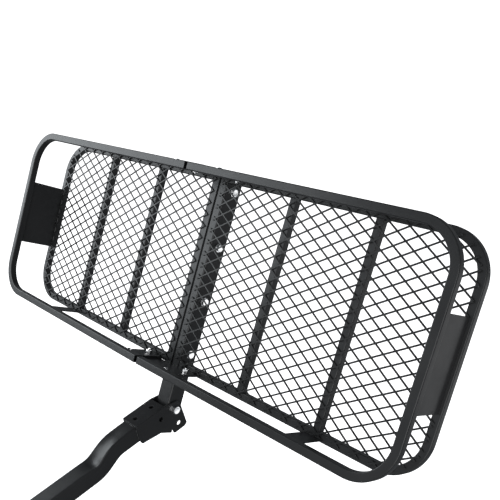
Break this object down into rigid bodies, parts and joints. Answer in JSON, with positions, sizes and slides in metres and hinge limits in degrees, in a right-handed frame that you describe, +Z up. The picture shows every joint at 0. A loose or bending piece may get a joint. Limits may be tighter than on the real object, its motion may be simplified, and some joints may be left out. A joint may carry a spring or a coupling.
{
  "type": "folding hitch mounted cargo basket",
  "caption": "Folding cargo basket of square steel tube with a diamond mesh floor, raised side rail and a hitch shank with a folding clevis.",
  "frame": {"origin": "on the underside of the shank, straight below the hitch pin hole's axis", "axes": "+X to the basket's right seen from the vehicle side, +Y away from the vehicle, +Z up"},
  "size_m": [1.5282, 0.947, 0.692],
  "materials": {
    "black_powder_coat": "satin black powder coat on welded steel",
    "zinc_plated_steel": "bright zinc plated fasteners"
  },
  "bodies": {
    "hitch_side": {"shank": "black_powder_coat", "clevis": "black_powder_coat", "pivot_bolt": "zinc_plated_steel", "pivot_nut": "zinc_plated_steel", "pivot_washer": "zinc_plated_steel"},
    "basket": {"centre_tube": "black_powder_coat", "cross_bar_left_1": "black_powder_coat", "cross_bar_left_2": "black_powder_coat", "cross_bar_right_1": "black_powder_coat", "cross_bar_right_2": "black_powder_coat", "end_plate_left": "black_powder_coat", "end_plate_right": "black_powder_coat", "floor_loop_left": "black_powder_coat", "floor_loop_right": "black_powder_coat", "mesh_panel_left": "black_powder_coat", "mesh_panel_right": "black_powder_coat", "saddle_angle_left": "black_powder_coat", "saddle_angle_right": "black_powder_coat", "splice_bolt_left_far_1": "zinc_plated_steel", "splice_bolt_left_far_2": "zinc_plated_steel", "splice_bolt_left_near_1": "zinc_plated_steel", "splice_bolt_left_near_2": "zinc_plated_steel", "splice_bolt_right_far_1": "zinc_plated_steel", "splice_bolt_right_far_2": "zinc_plated_steel", "splice_bolt_right_near_1": "zinc_plated_steel", "splice_bolt_right_near_2": "zinc_plated_steel", "splice_bracket_far": "black_powder_coat", "splice_bracket_near": "black_powder_coat", "splice_nut_left_far_1": "zinc_plated_steel", "splice_nut_left_far_2": "zinc_plated_steel", "splice_nut_left_near_1": "zinc_plated_steel", "splice_nut_left_near_2": "zinc_plated_steel", "splice_nut_right_far_1": "zinc_plated_steel", "splice_nut_right_far_2": "zinc_plated_steel", "splice_nut_right_near_1": "zinc_plated_steel", "splice_nut_right_near_2": "zinc_plated_steel", "splice_tab_left_far": "black_powder_coat", "splice_tab_left_near": "black_powder_coat", "splice_tab_right_far": "black_powder_coat", "splice_tab_right_near": "black_powder_coat", "strut_left_far": "black_powder_coat", "strut_left_near": "black_powder_coat", "strut_right_far": "black_powder_coat", "strut_right_near": "black_powder_coat", "tube_bolt_1": "zinc_plated_steel", "tube_bolt_2": "zinc_plated_steel", "tube_bolt_3": "zinc_plated_steel", "tube_bolt_4": "zinc_plated_steel", "tube_bolt_nut_1": "zinc_plated_steel", "tube_bolt_nut_2": "zinc_plated_steel", "tube_bolt_nut_3": "zinc_plated_steel", "tube_bolt_nut_4": "zinc_plated_steel", "tube_bolt_washer_1": "zinc_plated_steel", "tube_bolt_washer_2": "zinc_plated_steel", "tube_bolt_washer_3": "zinc_plated_steel", "tube_bolt_washer_4": "zinc_plated_steel", "upper_rail_left": "black_powder_coat", "upper_rail_right": "black_powder_coat"}
  },
  "joints": [
    {"name": "basket_fold", "type": "hinge", "parent": "hitch_side", "child": "basket", "pos_m": [0, 0.48, 0.0542], "axis": [1, 0, 0], "range_deg": [-55, 35]}
  ]
}
